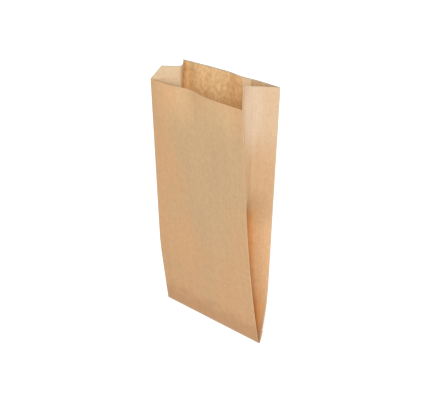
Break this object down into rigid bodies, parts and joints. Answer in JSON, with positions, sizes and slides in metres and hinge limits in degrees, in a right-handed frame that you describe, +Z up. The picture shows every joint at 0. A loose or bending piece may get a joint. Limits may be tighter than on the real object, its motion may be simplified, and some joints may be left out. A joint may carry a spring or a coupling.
{
  "type": "kraft paper bag",
  "caption": "Empty brown kraft paper bag with side gussets, a pinched bottom and an open mouth, lying on its back panel",
  "frame": {"origin": "centre of the bag's box, on the surface that it lies on", "axes": "+Z up out of the front panel, +Y along the bag from the pinched bottom to the open mouth, +X to the right across the bag"},
  "size_m": [0.14, 0.2518, 0.0447],
  "materials": {
    "kraft_paper": "matte brown kraft with fine vertical ribs"
  },
  "bodies": {
    "root": {"bag": "kraft_paper"}
  },
  "joints": []
}
